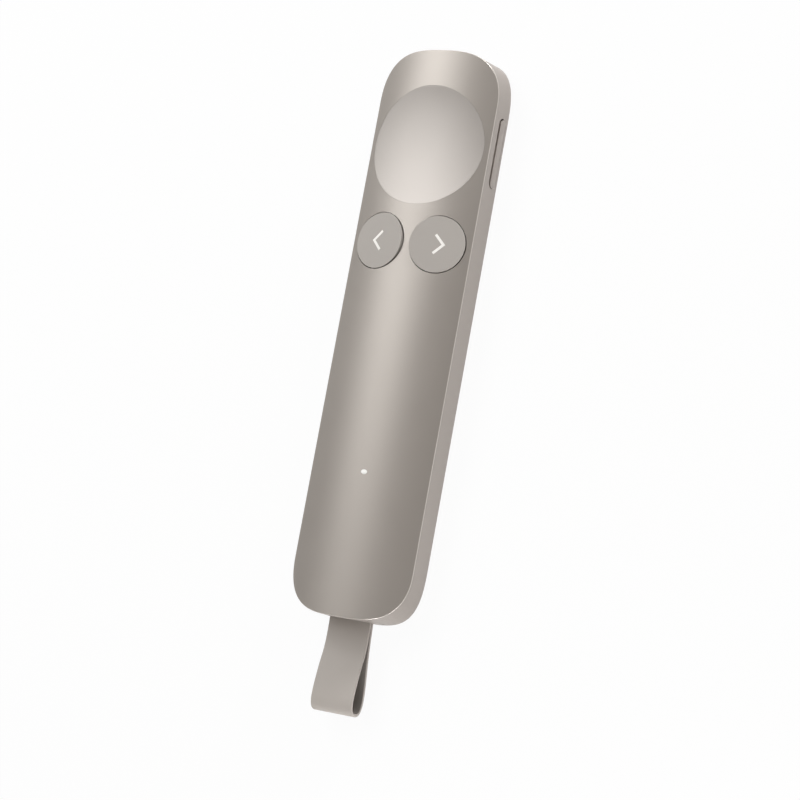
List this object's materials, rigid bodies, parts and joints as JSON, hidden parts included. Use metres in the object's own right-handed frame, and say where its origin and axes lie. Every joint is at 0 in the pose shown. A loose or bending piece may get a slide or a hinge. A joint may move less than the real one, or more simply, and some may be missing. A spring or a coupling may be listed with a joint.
{
  "type": "wireless presentation clicker",
  "caption": "Slim pocket remote with an arched satin face, a dished pointer button, two round chevron buttons, a side key and a pull strap on a stowed receiver.",
  "frame": {"origin": "middle of the flat back, on the surface that the clicker lies on", "axes": "+Z out of the arched face, +Y along the body to the nose, +X to the side that carries the side key; the pull strap leaves the tail at -Y"},
  "size_m": [0.0301, 0.1499, 0.0114],
  "materials": {
    "shell_satin": "satin",
    "face_satin": "satin, pearl",
    "dish_satin": "satin, pearl",
    "button_satin": "matte",
    "mark_white": "matte",
    "light_white": "translucent",
    "window_dark": "gloss",
    "strap_rubber": "matte",
    "frame_plastic": "matte",
    "board_laminate": "satin",
    "cell_foil": "satin",
    "pad_foam": "matte",
    "plated_steel": "satin",
    "ceramic": "matte",
    "laser_brass": "satin"
  },
  "bodies": {
    "housing": {"rear_shell": "shell_satin", "top_cover": "face_satin", "mid_frame": "frame_plastic", "main_board": "board_laminate", "battery_cell": "cell_foil", "cell_pad": "pad_foam", "pointer_switch": "plated_steel", "back_switch": "plated_steel", "next_switch": "plated_steel", "side_switch": "plated_steel", "radio_can": "plated_steel", "antenna_chip": "ceramic", "status_led": "ceramic", "light_pipe": "light_white", "haptic_motor": "plated_steel", "laser_module": "laser_brass", "laser_window": "window_dark", "charge_port": "plated_steel", "board_screws": "plated_steel"},
    "pointer_button": {"pointer_cap": "dish_satin", "pointer_plunger": "ceramic"},
    "back_button": {"back_cap": "button_satin", "back_mark": "mark_white", "back_plunger": "ceramic"},
    "next_button": {"next_cap": "button_satin", "next_mark": "mark_white", "next_plunger": "ceramic"},
    "side_button": {"side_key": "shell_satin", "side_plunger": "ceramic"},
    "receiver": {"receiver_case": "shell_satin", "receiver_board": "board_laminate", "receiver_plug": "plated_steel", "plug_tongue": "frame_plastic", "strap_pin": "plated_steel", "pull_strap": "strap_rubber"}
  },
  "joints": [
    {"name": "pointer_press", "type": "slide", "parent": "housing", "child": "pointer_button", "axis": [0, 0, -1], "range_m": [0, 0.0004], "stiffness_N_per_m": 1500, "springref_m": -0.0003},
    {"name": "back_press", "type": "slide", "parent": "housing", "child": "back_button", "axis": [0.184, 0, -0.9829], "range_m": [0, 0.00035], "stiffness_N_per_m": 1500, "springref_m": -0.0003},
    {"name": "next_press", "type": "slide", "parent": "housing", "child": "next_button", "axis": [-0.184, 0, -0.9829], "range_m": [0, 0.00035], "stiffness_N_per_m": 1500, "springref_m": -0.0003},
    {"name": "side_press", "type": "slide", "parent": "housing", "child": "side_button", "axis": [-1, 0, 0], "range_m": [0, 0.00035], "stiffness_N_per_m": 1500, "springref_m": -0.0003},
    {"name": "receiver_pull", "type": "slide", "parent": "housing", "child": "receiver", "axis": [0, -1, 0], "range_m": [0, 0.028]}
  ]
}
